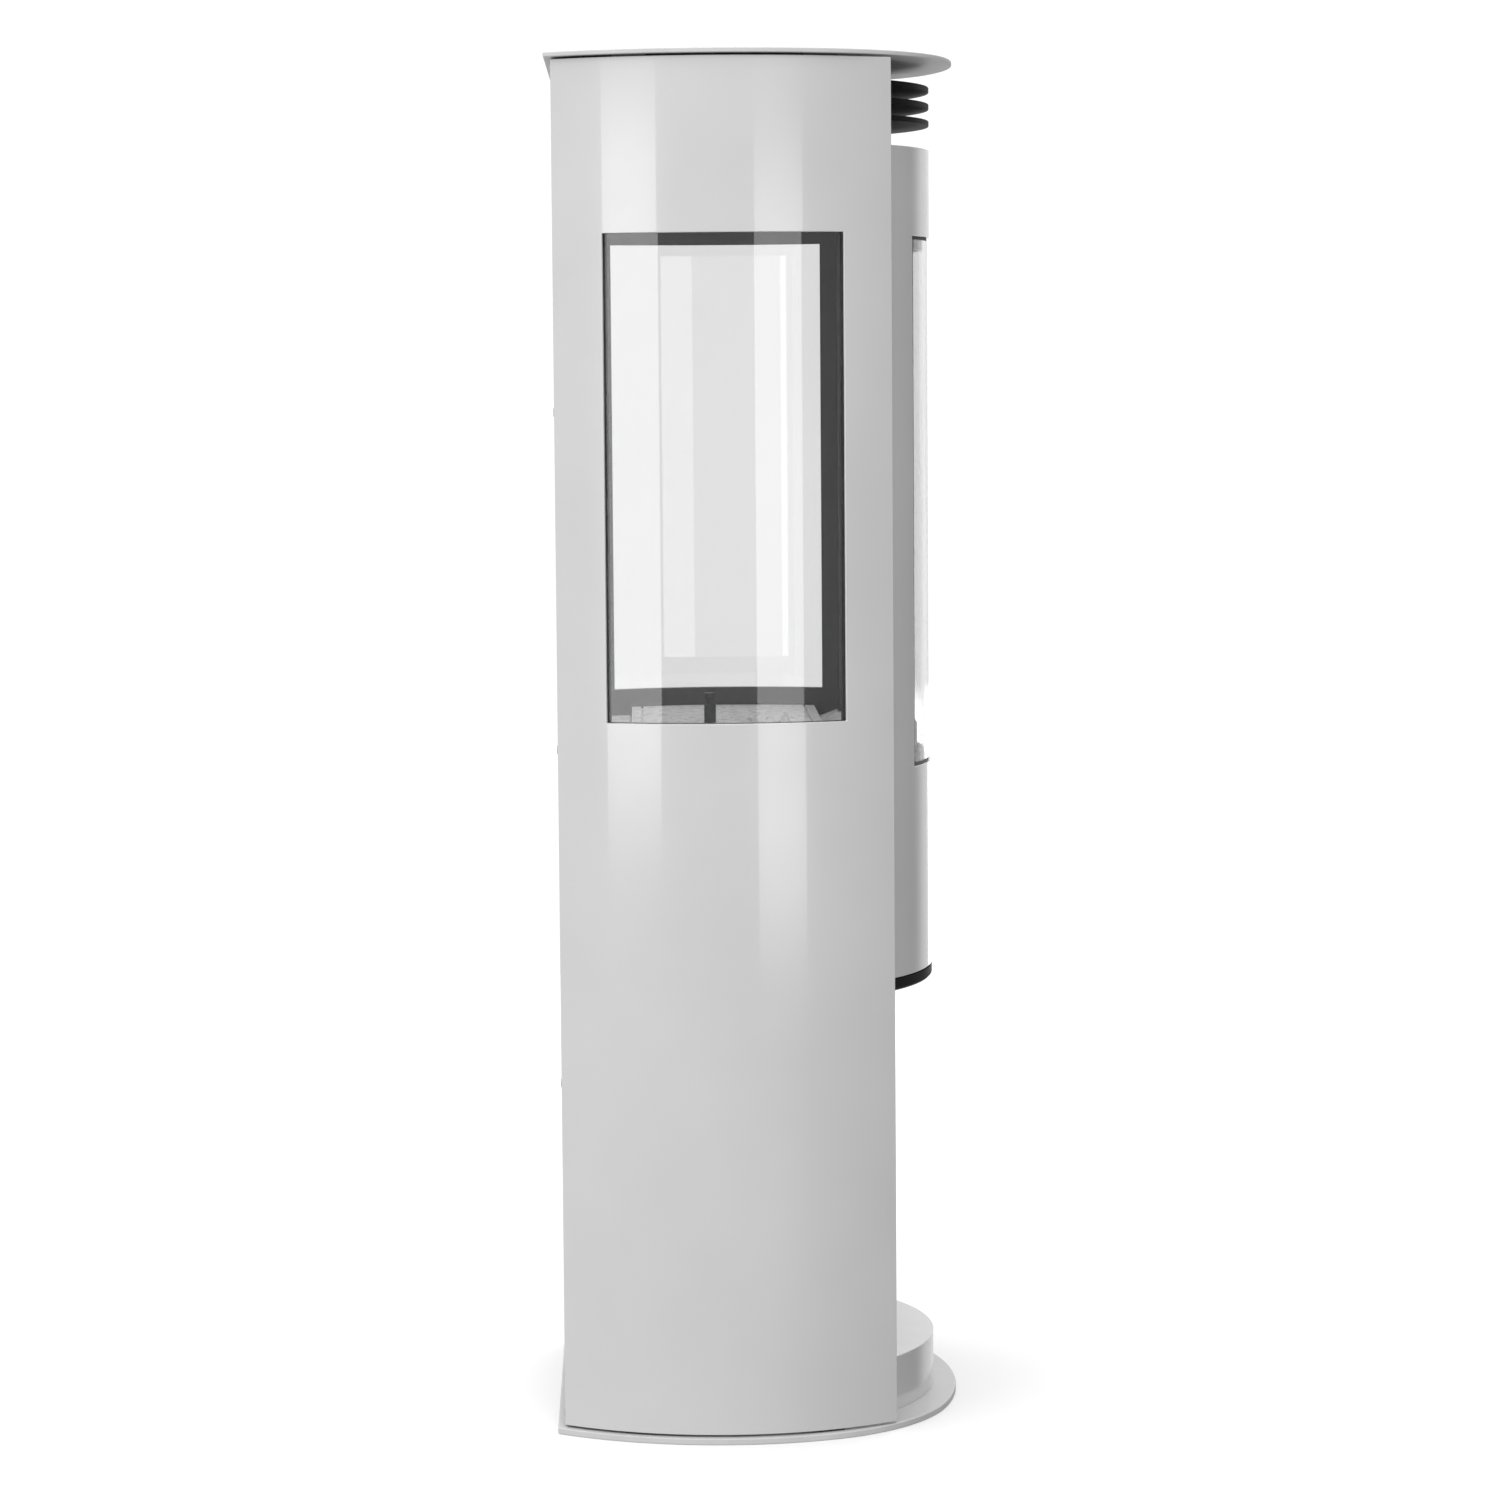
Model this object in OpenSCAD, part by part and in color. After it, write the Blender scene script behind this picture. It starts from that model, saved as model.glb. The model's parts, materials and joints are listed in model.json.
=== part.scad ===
// Round wood burning stove: a drum-shaped fire body between two curved side panels.
// Front is -Y, up is +Z. The origin is on the floor, on the drum's axis.

/* [Overall] */
// Overall height
stove_h = 1250; // [1050:10:1500]
// Half of the width of the base and top plates
plate_half_w = 214; // [212:1:260]
// Reach of the plates in front of the drum's axis
plate_front = 215; // [205:1:250]
// Reach of the plates behind the drum's axis
plate_back = 161; // [158:1:190]
// Radius of the round fire body
drum_r = 194; // [162:1:195]

/* [Plates and plinth] */
// Thickness of the base plate
base_t = 6; // [4:0.5:10]
// Thickness of the top plate
top_t = 4; // [3:0.5:8]
// Radius of the plates' side edges
side_arc_r = 300; // [280:1:330]
// Radius of the plates' front edge
front_arc_r = 300; // [280:1:330]
// Radius of the plates' front corners
corner_r = 170; // [150:1:185]
// Height of the plinth drum with its lid
plinth_h = 50; // [40:1:80]
// Wall of the plinth drum and of its lid
plinth_t = 3; // [2:0.5:5]

/* [Side panels] */
// Sheet thickness of a side panel
panel_t = 3; // [2:0.5:4]
// Distance from the plates' side edge to the panel
panel_setback = 5; // [3:1:10]
// Distance from a panel's front edge to the drum's axis
panel_front = 149; // [130:1:160]
// Overhang of the plates behind the panels
rear_lip = 6.5; // [4:0.5:12]
// Gap between a panel and the plates
panel_gap = 2; // [1:0.5:4]
// Height of the window sill above the floor
win_sill = 653; // [640:1:700]
// Distance from the window's head to the top of the stove
win_drop = 161; // [150:1:200]
// Thickness of the side glass
side_glass_t = 4; // [3:0.5:5]
// Thickness of the side gasket
side_gasket_t = 3; // [2:0.5:4]
// Overlap of the side glass behind the window's edge
glass_lap = 11; // [8:1:12]
// Thickness of the back panel
back_t = 2; // [1:0.5:3]

/* [Fire body] */
// Height of the wood store
store_h = 341; // [280:1:380]
// Height of the ring under the fire body
ring_h = 11; // [8:1:20]
// Width of the ring under the fire body
ring_w = 34; // [20:1:40]
// Thickness of the fire body's floor and roof
deck_t = 4; // [3:0.5:6]
// Wall of the firebox
shell_t = 3; // [2:0.5:5]
// Height of the top of the fire floor's steel plate
fire_z = 600; // [590:1:620]
// Thickness of that plate
fire_plate_t = 8; // [6:1:10]
// Thickness of the floor bricks
floor_brick_t = 36; // [20:1:40]
// Thickness of the back bricks
back_brick_t = 32; // [25:1:40]
// Inner radius of the flue collar
flue_r = 75.5; // [65:0.5:78]
// Distance of the flue behind the drum's axis
flue_back = 48; // [30:1:50]
// Inner radius of the combustion-air collar
air_r = 50; // [30:0.5:52]
// Wall of both collars
collar_t = 2.5; // [2:0.5:3]

/* [Head] */
// Height from the fire body's roof to the top plate
head_h = 77; // [70:1:110]
// Gap between the fire body's roof and the lowest fin
fin_first = 22; // [14:1:26]
// Distance from fin to fin
fin_pitch = 15.5; // [12:0.5:18]
// Thickness of a fin
fin_t = 5; // [2:0.5:6]
// Radius of the hub that carries the fins
hub_r = 144; // [138:1:146]

/* [Door] */
// Half of the angle that the door covers
door_half_a = 45; // [42:1:46]
// Thickness of the door's outer skin
door_t = 4; // [3:0.5:5]
// Thickness of the door's inner frame
frame_t = 6; // [5:0.5:8]
// Half of the angle that the door glass covers
glass_half_a = 27; // [20:1:29]
// Height of the door glass's lower edge above the floor
glass_sill = 601; // [590:1:620]
// Distance from the door glass's upper edge to the top of the stove
glass_drop = 162; // [155:1:200]
// Thickness of the door glass
glass_t = 4; // [3:0.5:5]
// Depth of the door glass behind the door's skin
glass_recess = 2; // [1:0.5:3]
// Width of the gasket around the door glass
gasket_w = 3; // [2:0.5:5]
// Thickness of the pressed seal rope
seal_t = 2.7; // [2:0.1:5]
// Radius of the hinge pins and of the latch rod
pin_r = 4; // [3:0.5:5]
// Radial clearance of the turning pins
pin_fit = 0.06; // [0.02:0.01:0.1]
// Turn between the released and the locked latch
latch_turn = 35; // [30:1:38]

/* [Small parts] */
// Radius of the turning grate
grate_r = 70; // [60:1:75]
// Radius of the riddling pin
riddle_r = 5.5; // [4:0.5:7]
// Distance of the riddling pin behind the drum's axis
riddle_back = 14; // [5:1:20]
// Radius of the air knob
knob_r = 8; // [6:1:10]

/* [Hidden] */
$fn = 96;
BIG = 3 * stove_h;
ARC_FN = 240;
GAP = 0.3;

// Heights, from the floor up
plinth_top = base_t + plinth_h;
ring_z = plinth_top + store_h;
body_z = ring_z + ring_h;
body_in_z = body_z + deck_t;
top_z = stove_h - top_t;
roof_top = top_z - head_h;
roof_z = roof_top - deck_t;
panel_z0 = base_t + panel_gap;
panel_z1 = top_z - panel_gap;
win_top = stove_h - win_drop;
hearth_z = fire_z + floor_brick_t;

// Side stack, from the panel inwards; each radius is about the side arcs' own centre
side_c = side_arc_r - plate_half_w;
panel_r = side_arc_r - panel_setback;
panel_in_r = panel_r - panel_t;
side_glass_gap = 1;
side_glass_r = panel_in_r - side_glass_gap;
side_gasket_r = side_glass_r - side_glass_t;
shell_side_r = side_gasket_r - side_gasket_t;

// Door stack, from the skin inwards; each radius is about the drum's axis
door_in_r = drum_r - door_t;
frame_in_r = door_in_r - frame_t;
seal_in_r = frame_in_r - seal_t;
shell_front_r = seal_in_r - GAP;
glass_r = drum_r - glass_recess;
glass_in_r = glass_r - glass_t;
door_gap = 1;
door_z0 = body_z + door_gap;
door_z1 = roof_top;
glass_top = stove_h - glass_drop;
frame_rim = 6;
frame_half_a = door_half_a - 4;
frame_lap_a = 3;
frame_lap = 12;
seal_w = 8;
seal_half_a = frame_half_a - 0.4;

// Distances in front of and behind the drum's axis
jamb_gap = 11;
jamb_front = frame_in_r * cos(door_half_a) - jamb_gap;
win_margin = 14;
win_front = jamb_front - win_margin;
panel_rear = plate_back - rear_lip;
back_cavity = 4.5;
shell_back = panel_rear - back_t - back_cavity;
brick_gap = 1;
brick_front = shell_back - shell_t - back_brick_t;
win_back = brick_front - 3;

// Openings in the firebox's front
fire_open_a = 36;
fire_open_rim = 12;
fire_open_z1 = glass_top + fire_open_rim;
ash_open_a = 30;
ash_open_z0 = body_z + 28;
ash_open_z1 = fire_z - fire_plate_t - 7;

// Hinge and latch axes
axis_off = 18.5;
axis_lead = 3.8;
axis_r = drum_r + axis_off;
axis_a = door_half_a + axis_lead;
knuckle_r = pin_r + 2.5;
knuckle_h = 20;
knuckle_gap = 0.5;
hinge_z = [door_z0 + 90, door_z1 - 110];
handle_z = 790;
grip_h = 170;
latch_arm_h = 14;
latch_arm_reach = 62;
keeper_r = 2.5;
keeper_at = [8, 8.5];
keeper_half_h = 12;
ear_t = 3;

// Store posts stand behind the plinth
post_w = 20;
post_y = shell_back - post_w - 1;
post_x = back_half_w() - post_w - 13.2;
plinth_back = post_y - 1;

// Ash compartment and air slide
ash_shelf_t = 3;
shelf_gap = 8;
pan_half_w = 75;
pan_clear = 21.4;
pan_front = sqrt(pow(shell_front_r - shell_t, 2) - pow(pan_half_w, 2)) - pan_clear;
pan_back = 88;
pan_h = 50;
pan_t = 2;
air_z = body_in_z + air_r + 12;
ash_shelf_z = air_z + air_r + collar_t + shelf_gap;
knob_front = drum_r - ring_w - 30;
slide_len = 100;
slide_front = knob_front - 20;
slide_back = slide_front - 40;
slide_t = 3.2;
slide_play = 0.5;
slide_z = body_z - slide_play - slide_t;
lip_t = 2.8;
lip_z = slide_z - slide_play - lip_t;
guide_len = 170;
guide_w = 5;
lip_w = 9;
tongue_t = 3;
tongue_z = lip_z - slide_play - tongue_t;
knob_h = 17;

// Grate: it turns in the fire plate's hole
grate_play = 2;
grate_t = fire_plate_t - 1;
grate_z = fire_z - fire_plate_t + GAP;
riddle_top = hearth_z + 28;
slot_half_w = 60;
slot_front = 53;
slot_back = 22;

// A point at angle a from the front, towards +X, at distance r from the drum's axis
function polar(r, a) = [r * sin(a), -r * cos(a)];
// The angle that a length covers on a radius
function span(len, r) = len / r * 180 / PI;

// Part of a tube about the drum's axis, between two angles from the front
module drum_arc(r_in, r_out, a0, a1, z0, z1) {
    translate([0, 0, z0])
        rotate([0, 0, a0 - 90])
            rotate_extrude(angle = a1 - a0, $fn = ARC_FN)
                translate([r_in, 0]) square([r_out - r_in, z1 - z0]);
}

// Part of a tube about the right-hand panel's axis, from front to back
module side_arc(r_in, r_out, front, back, z0, z1) {
    a0 = -asin(front / r_out);
    a1 = asin(back / r_out);
    translate([-side_c, 0, z0])
        rotate([0, 0, a0])
            rotate_extrude(angle = a1 - a0, $fn = ARC_FN)
                translate([r_in, 0]) square([r_out - r_in, z1 - z0]);
}

// Everything behind a plane at distance back from the axis
module behind(back) {
    translate([-BIG / 2, back, -BIG / 2]) cube(BIG);
}

module both_sides() {
    children();
    mirror([1, 0, 0]) children();
}

// What lies outside a front corner's arc, between the two points where it meets the other arcs
module corner_waste() {
    front_c = [0, front_arc_r - plate_front];
    side_centre = [-side_c, 0];
    reach_side = side_arc_r - corner_r;
    reach_front = front_arc_r - corner_r;
    way = front_c - side_centre;
    d = norm(way);
    along = (reach_side * reach_side - reach_front * reach_front + d * d) / (2 * d);
    across = sqrt(reach_side * reach_side - along * along);
    c = side_centre + along * way / d + across * [way.y, -way.x] / d;
    a_front = atan2(c.y - front_c.y, c.x - front_c.x);
    a_side = atan2(c.y - side_centre.y, c.x - side_centre.x);
    a_mid = (a_front + a_side) / 2;
    translate(c)
        difference() {
            polygon([[0, 0], for (a = [a_front, a_mid, a_side]) 3 * corner_r * [cos(a), sin(a)]]);
            circle(corner_r, $fn = ARC_FN);
        }
}

// Plan of the base and top plates: bulging sides and front, straight back
module plate_plan() {
    difference() {
        intersection() {
            translate([-side_c, 0]) circle(side_arc_r, $fn = ARC_FN);
            translate([side_c, 0]) circle(side_arc_r, $fn = ARC_FN);
            translate([0, front_arc_r - plate_front]) circle(front_arc_r, $fn = ARC_FN);
            translate([-BIG / 2, plate_back - BIG]) square(BIG);
        }
        both_sides() corner_waste();
    }
}

// Plan of the firebox, inset from its outer face
module body_plan(inset = 0) {
    r = shell_side_r - inset;
    intersection() {
        translate([-side_c, 0]) circle(r, $fn = ARC_FN);
        translate([side_c, 0]) circle(r, $fn = ARC_FN);
        translate([-BIG / 2, inset - jamb_front])
            square([BIG, jamb_front + shell_back - 2 * inset]);
    }
    intersection() {
        circle(shell_front_r - inset, $fn = ARC_FN);
        translate([-BIG / 2, -BIG]) square(BIG);
    }
}

// Plan inside the firebox walls, cut to a band from front to back of the axis
module lining_plan(front, back) {
    intersection() {
        body_plan(shell_t + brick_gap);
        translate([-BIG / 2, -front]) square([BIG, front + back]);
    }
}

// --- Plates, plinth and panels ---

module base_plate() {
    color("gainsboro") linear_extrude(base_t) plate_plan();
}

module plinth_drum() {
    color("gainsboro")
        translate([0, 0, base_t])
            difference() {
                cylinder(h = plinth_h - plinth_t, r = drum_r, $fn = ARC_FN);
                difference() {
                    translate([0, 0, -1]) cylinder(h = plinth_h, r = drum_r - plinth_t, $fn = ARC_FN);
                    behind(plinth_back - plinth_t);
                }
                behind(plinth_back);
            }
}

module plinth_lid() {
    color("gainsboro")
        translate([0, 0, plinth_top - plinth_t])
            difference() {
                cylinder(h = plinth_t, r = drum_r, $fn = ARC_FN);
                behind(plinth_back);
            }
}

module store_posts() {
    color("dimgray")
        both_sides()
            translate([post_x, post_y, base_t])
                difference() {
                    cube([post_w, post_w, body_z - base_t]);
                    translate([plinth_t, -1, -1])
                        cube([post_w, post_w - plinth_t + 1, body_z]);
                }
}

module side_panel_right() {
    color("gainsboro")
        difference() {
            side_arc(panel_in_r, panel_r, panel_front, panel_rear, panel_z0, panel_z1);
            side_arc(shell_side_r, side_arc_r, win_front, win_back, win_sill, win_top);
        }
}

module side_panel_left() {
    mirror([1, 0, 0]) side_panel_right();
}

// Curved blocks that carry a side panel, in pairs at the plates and on the fire body
module panel_brackets_right() {
    block_h = 24;
    block_len = 30;
    block_t = 5;
    reach = 100;
    deck_margin = 20;
    levels = [body_z + deck_margin, fire_z - deck_margin, roof_top - block_h - deck_margin];
    color("dimgray")
        for (ends = [[reach, block_len - reach], [block_len - reach, reach]]) {
            for (z = [base_t, top_z - block_h])
                side_arc(panel_in_r - block_t, panel_in_r, ends[0], ends[1], z, z + block_h);
            for (z = levels)
                side_arc(shell_side_r, panel_in_r, ends[0], ends[1], z, z + block_h);
        }
}

module panel_brackets_left() {
    mirror([1, 0, 0]) panel_brackets_right();
}

module side_glass_right() {
    color([0.8, 0.85, 0.85, 0.3])
        side_arc(side_gasket_r, side_glass_r, win_front + glass_lap, win_back + glass_lap,
            win_sill - glass_lap, win_top + glass_lap);
}

module side_glass_left() {
    mirror([1, 0, 0]) side_glass_right();
}

module side_gasket_right() {
    color("black")
        difference() {
            side_arc(shell_side_r, side_gasket_r, win_front + glass_lap, win_back + glass_lap,
                win_sill - glass_lap, win_top + glass_lap);
            side_arc(shell_side_r - 1, side_glass_r, win_front, win_back, win_sill, win_top);
        }
}

module side_gasket_left() {
    mirror([1, 0, 0]) side_gasket_right();
}

// Places of the back panel's screws: x from the centre, z from the floor
screw_inset = 9;
screw_rows = 5;
screw_x = back_half_w() - screw_inset;
screw_z = [for (i = [0 : screw_rows - 1])
    panel_z0 + screw_inset + i * (panel_z1 - panel_z0 - 2 * screw_inset) / (screw_rows - 1)];

function back_half_w() = sqrt(pow(panel_in_r, 2) - pow(panel_rear, 2)) - side_c - 2 * GAP;

module back_panel() {
    slot_w = 90;
    slot_h = 7;
    slot_pitch = 14;
    slot_rows = 4;
    color("gainsboro")
        difference() {
            translate([0, 0, panel_z0])
                linear_extrude(panel_z1 - panel_z0)
                    intersection() {
                        translate([-BIG / 2, panel_rear - back_t]) square([BIG, back_t]);
                        translate([-side_c, 0]) circle(panel_in_r - GAP, $fn = ARC_FN);
                        translate([side_c, 0]) circle(panel_in_r - GAP, $fn = ARC_FN);
                    }
            translate([0, panel_rear + 1, air_z])
                rotate([90, 0, 0]) cylinder(h = back_t + 2, r = air_r + collar_t + 1);
            for (i = [0 : slot_rows - 1])
                both_sides()
                    translate([slot_h, panel_rear - back_t - 1, roof_top + slot_pitch * (i + 0.5)])
                        cube([slot_w, back_t + 2, slot_h]);
        }
}

module back_panel_screws() {
    head_r = 4.5;
    head_t = 2.2;
    socket_r = 2;
    color("silver")
        both_sides()
            for (z = screw_z)
                translate([screw_x, panel_rear, z])
                    rotate([-90, 0, 0])
                        difference() {
                            cylinder(h = head_t, r1 = head_r, r2 = head_r - 1, $fn = 32);
                            translate([0, 0, head_t / 2]) cylinder(h = head_t, r = socket_r, $fn = 6);
                        }
}

module top_plate() {
    color("gainsboro")
        translate([0, 0, top_z])
            difference() {
                linear_extrude(top_t) plate_plan();
                translate([0, flue_back, -1])
                    cylinder(h = top_t + 2, r = flue_r + collar_t + 0.5);
            }
}

// --- Head: fins, hub and flue ---

module cooling_fin(level) {
    rim = 0.9;
    color("black")
        translate([0, 0, roof_top + fin_first + level * fin_pitch])
            difference() {
                rotate_extrude($fn = ARC_FN)
                    polygon([[hub_r, 0], [drum_r - rim, 0], [drum_r, rim], [drum_r, fin_t - rim],
                        [drum_r - rim, fin_t], [hub_r, fin_t]]);
                behind(shell_back);
            }
}

module cooling_fin_lower() {
    cooling_fin(0);
}

module cooling_fin_middle() {
    cooling_fin(1);
}

module cooling_fin_upper() {
    cooling_fin(2);
}

module fin_hub() {
    hub_t = 4;
    color("black")
        translate([0, 0, roof_top])
            difference() {
                cylinder(h = head_h, r = hub_r, $fn = ARC_FN);
                translate([0, 0, -1]) cylinder(h = head_h + 2, r = hub_r - hub_t, $fn = ARC_FN);
            }
}

module flue_collar() {
    flange_w = 12;
    flange_t = 3;
    r_out = flue_r + collar_t;
    color("dimgray")
        translate([0, flue_back, 0])
            rotate_extrude()
                polygon([[flue_r, roof_z], [r_out, roof_z], [r_out, roof_top],
                    [r_out + flange_w, roof_top], [r_out + flange_w, roof_top + flange_t],
                    [r_out, roof_top + flange_t], [r_out, stove_h - 1], [flue_r, stove_h - 1]]);
}

// --- Fire body ---

module body_roof() {
    color("dimgray")
        translate([0, 0, roof_z])
            difference() {
                linear_extrude(deck_t) body_plan();
                translate([0, flue_back, -1]) cylinder(h = deck_t + 2, r = flue_r + collar_t + 0.2);
            }
}

// Slots that let primary air through the floor and through the slide
module air_slots() {
    slot_w = 14;
    slot_pitch = 30;
    for (i = [-1 : 1])
        translate([i * slot_pitch - slot_w / 2, -slide_front + lip_w])
            square([slot_w, slide_front - slide_back - 2 * lip_w]);
}

module body_floor() {
    color("dimgray")
        translate([0, 0, body_z])
            linear_extrude(deck_t)
                difference() {
                    body_plan();
                    air_slots();
                }
}

module base_ring() {
    bevel = 2.5;
    ring_a = 130;
    color("black")
        translate([0, 0, ring_z])
            rotate([0, 0, -ring_a - 90])
                rotate_extrude(angle = 2 * ring_a, $fn = ARC_FN)
                    polygon([[drum_r - ring_w, 0], [drum_r - bevel, 0], [drum_r, bevel],
                        [drum_r, ring_h], [drum_r - ring_w, ring_h]]);
}

// Wall of the fire body between two heights
module body_wall(z0, z1) {
    translate([0, 0, z0])
        linear_extrude(z1 - z0)
            difference() {
                body_plan();
                body_plan(shell_t);
            }
}

// Cutter for an opening in the round front of the fire body's wall
module front_opening(half_a, z0, z1) {
    cut = 10;
    drum_arc(shell_front_r - cut, shell_front_r + cut, -half_a, half_a, z0, z1);
}

module firebox_shell() {
    color("dimgray")
        difference() {
            body_wall(fire_z - fire_plate_t, roof_z);
            both_sides()
                side_arc(shell_side_r - 2 * shell_t, panel_r, win_front, win_back, win_sill, win_top);
            front_opening(fire_open_a, hearth_z, fire_open_z1);
        }
}

// Wall of the air chamber under the fire, cut to a rectangle of its plan
module chamber_wall(left, right, front, back) {
    translate([0, 0, body_in_z])
        linear_extrude(fire_z - fire_plate_t - body_in_z)
            intersection() {
                difference() {
                    body_plan();
                    body_plan(shell_t);
                }
                translate([left, -front]) square([right - left, front + back]);
            }
}

module air_chamber_sides() {
    color("dimgray")
        both_sides() chamber_wall(0, BIG / 2, jamb_front - shell_t, shell_back - shell_t);
}

module air_chamber_rear() {
    color("dimgray")
        difference() {
            chamber_wall(-BIG / 2, BIG / 2, shell_t - shell_back, shell_back);
            translate([0, shell_back + 1, air_z])
                rotate([90, 0, 0]) cylinder(h = shell_t + 2, r = air_r + collar_t + 0.2);
        }
}

// Jambs and round front, open for the ash pan
module air_chamber_front() {
    color("dimgray")
        difference() {
            chamber_wall(-BIG / 2, BIG / 2, shell_front_r + 1, shell_t - jamb_front);
            front_opening(ash_open_a, ash_open_z0, ash_open_z1);
        }
}

module ash_shelf() {
    vent_w = 200;
    vent_d = 12;
    vent_y = 100;
    color("dimgray")
        translate([0, 0, ash_shelf_z - ash_shelf_t])
            linear_extrude(ash_shelf_t)
                difference() {
                    body_plan(shell_t);
                    translate([-vent_w / 2, vent_y]) square([vent_w, vent_d]);
                }
}

module ash_pan() {
    grip_w = 60;
    grip_d = 8;
    grip_t = 4;
    color("darkgray") {
        difference() {
            translate([-pan_half_w, -pan_front, ash_shelf_z])
                cube([2 * pan_half_w, pan_front + pan_back, pan_h]);
            translate([pan_t - pan_half_w, pan_t - pan_front, ash_shelf_z + pan_t])
                cube([2 * (pan_half_w - pan_t), pan_front + pan_back - 2 * pan_t, pan_h]);
        }
        translate([-grip_w / 2, -pan_front - grip_d, ash_shelf_z + pan_h / 2])
            cube([grip_w, grip_d, grip_t]);
    }
}

module firebox_base() {
    color("dimgray")
        translate([0, 0, fire_z - fire_plate_t])
            linear_extrude(fire_plate_t)
                difference() {
                    body_plan(shell_t);
                    translate([0, riddle_back]) circle(grate_r + grate_play);
                }
}

// Ring with a cross bar under the fire plate, where the grate rests and turns
module grate_cradle() {
    cradle_t = 4;
    ledge = 6;
    bar_w = 16;
    color("dimgray")
        translate([0, riddle_back, fire_z - fire_plate_t - cradle_t]) {
            difference() {
                cylinder(h = cradle_t, r = grate_r + 2 * ledge);
                translate([0, 0, -1]) cylinder(h = cradle_t + 2, r = grate_r - ledge);
            }
            translate([-grate_r, -bar_w / 2, 0]) cube([2 * grate_r, bar_w, cradle_t]);
        }
}

floor_front = win_front - 13;
floor_back = win_back - 22;
brick_joint = 1;

module floor_brick_centre() {
    groove_w = 2;
    groove_inset = 9;
    step = 9;
    hole_play = 1;
    slot_d = slot_front - slot_back;
    color("lightgray")
        difference() {
            translate([0, 0, fire_z]) linear_extrude(floor_brick_t) lining_plan(floor_front, floor_back);
            translate([-slot_half_w, -slot_front, fire_z - 1])
                cube([2 * slot_half_w, slot_d, floor_brick_t + 2]);
            translate([-slot_half_w - step, -slot_front - step, hearth_z - step])
                cube([2 * (slot_half_w + step), slot_d + 2 * step, step + 1]);
            translate([0, riddle_back, fire_z - 1])
                cylinder(h = floor_brick_t + 2, r = riddle_r + hole_play);
            for (y = [-floor_front + groove_inset, floor_back - groove_inset - groove_w])
                translate([-BIG / 2, y, hearth_z - groove_w]) cube([BIG, groove_w, groove_w + 1]);
        }
}

// Front floor brick: level behind, rising towards the door
module floor_brick_front() {
    rise = 12;
    slope_end = floor_front + 30;
    color("lightgray")
        intersection() {
            translate([0, 0, fire_z])
                linear_extrude(floor_brick_t) lining_plan(shell_front_r, -floor_front - brick_joint);
            rotate([90, 0, 90])
                translate([0, 0, -BIG / 2])
                    linear_extrude(BIG)
                        polygon([[-floor_front, fire_z], [-floor_front, hearth_z - rise],
                            [-slope_end, hearth_z], [-2 * drum_r, hearth_z], [-2 * drum_r, fire_z]]);
        }
}

module floor_brick_rear() {
    rise = 8;
    color("lightgray")
        translate([0, 0, fire_z])
            linear_extrude(floor_brick_t - rise)
                lining_plan(-floor_back - brick_joint, brick_front - brick_joint);
}

module firebrick_back_right() {
    color("lightgray")
        translate([0, 0, fire_z])
            linear_extrude(roof_z - fire_z - 60)
                intersection() {
                    lining_plan(-brick_front, shell_back);
                    translate([brick_joint / 2, 0]) square(BIG);
                }
}

module firebrick_back_left() {
    mirror([1, 0, 0]) firebrick_back_right();
}

baffle_t = 20;
rest_h = 8;
baffle_z = win_top + 20;

module baffle_rests() {
    rest_w = 14;
    rest_reach = 70;
    wall_r = shell_side_r - shell_t;
    color("dimgray")
        both_sides()
            side_arc(wall_r - rest_w, wall_r, rest_reach, rest_reach, baffle_z - rest_h, baffle_z);
}

module baffle_plate() {
    front_gap = 45;
    color("lightgray")
        translate([0, 0, baffle_z])
            linear_extrude(baffle_t)
                lining_plan(shell_front_r - front_gap, brick_front - brick_joint);
}

module smoke_plate() {
    smoke_t = 3;
    stud_w = 10;
    stud_h = 8;
    smoke_front = 60;
    smoke_half_w = 120;
    color("dimgray")
        translate([0, 0, baffle_z + baffle_t]) {
            translate([-smoke_half_w, -smoke_front, stud_h])
                cube([2 * smoke_half_w, smoke_front + brick_front - 2, smoke_t]);
            both_sides()
                for (y = [-smoke_front, brick_front - stud_w - 2])
                    translate([smoke_half_w - stud_w, y, 0]) cube([stud_w, stud_w, stud_h]);
        }
}

module log_guard() {
    guard_a = 30;
    guard_t = 4;
    guard_h = 16;
    foot_a = 3;
    foot_h = 10;
    r = shell_front_r - shell_t - 12;
    between_a = guard_a - foot_a;
    color("dimgray")
        difference() {
            drum_arc(r - guard_t, r, -guard_a, guard_a, hearth_z, hearth_z + foot_h + guard_h);
            drum_arc(r - 2 * guard_t, r + guard_t, -between_a, between_a, hearth_z - 1, hearth_z + foot_h);
        }
}

module air_collar() {
    flange_w = 8;
    flange_t = 3;
    inner_reach = 44;
    r_out = air_r + collar_t;
    color("dimgray")
        translate([0, 0, air_z])
            rotate([-90, 0, 0])
                rotate_extrude()
                    polygon([[air_r, shell_back - inner_reach], [r_out, shell_back - inner_reach],
                        [r_out, shell_back], [r_out + flange_w, shell_back],
                        [r_out + flange_w, shell_back + flange_t], [r_out, shell_back + flange_t],
                        [r_out, panel_rear], [air_r, panel_rear]]);
}

// Two rails with lips, under the body floor, that the air slide runs in
module slide_guides() {
    color("dimgray")
        for (side = [0, 1])
            translate([0, -(slide_front + slide_back) / 2, 0])
                mirror([0, side, 0])
                    translate([-guide_len / 2, (slide_front - slide_back) / 2 + slide_play, lip_z]) {
                        cube([guide_len, guide_w, body_z - lip_z]);
                        translate([0, guide_w - lip_w, 0]) cube([guide_len, lip_w, lip_t]);
                    }
}

// --- Fixed half of the hinge and latch ---

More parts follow.
